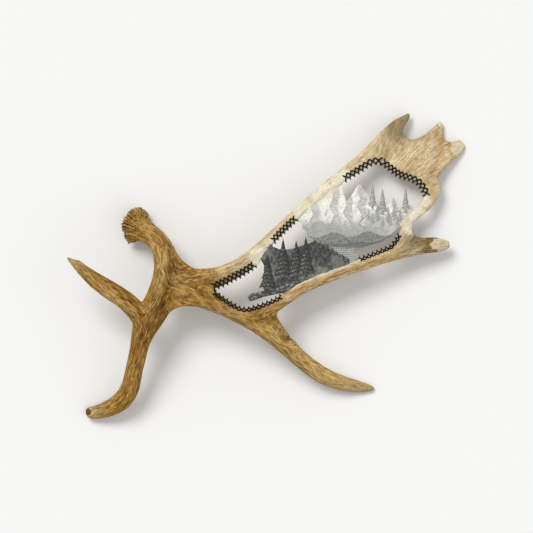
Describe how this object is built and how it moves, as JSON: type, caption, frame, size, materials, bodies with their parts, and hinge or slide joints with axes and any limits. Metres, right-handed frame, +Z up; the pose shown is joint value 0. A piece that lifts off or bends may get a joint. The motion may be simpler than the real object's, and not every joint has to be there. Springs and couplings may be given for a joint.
{
  "type": "carved moose antler",
  "caption": "Palmate moose antler lying on its tips, its palm pierced and carved as a wooded mountain scene, with dark thread laced round the windows.",
  "frame": {"origin": "middle of the underside of the whole antler's bounding box, on the floor it lies on", "axes": "+X from the brow tines towards the far edge of the palm, +Y towards the palm's first point, +Z up from the floor"},
  "size_m": [0.7935, 0.6103, 0.126],
  "materials": {
    "antler": "dry grooved antler bone, satin on the ridges",
    "carved_antler": "sanded antler bone with a thin matt wash of charcoal, grey and white over the carving",
    "thread": "black waxed thread"
  },
  "bodies": {
    "root": {"burr_and_beam": "antler", "upper_brow_tine": "antler", "lower_brow_tine": "antler", "bez_tine": "antler", "palm_tine": "antler", "carved_palm": "carved_antler", "lacing_left_window_lower": "thread", "lacing_left_window_upper": "thread", "lacing_middle_window": "thread", "lacing_sky_window_upper": "thread", "lacing_sky_window_outer": "thread", "lacing_lake_window": "thread"}
  },
  "joints": []
}
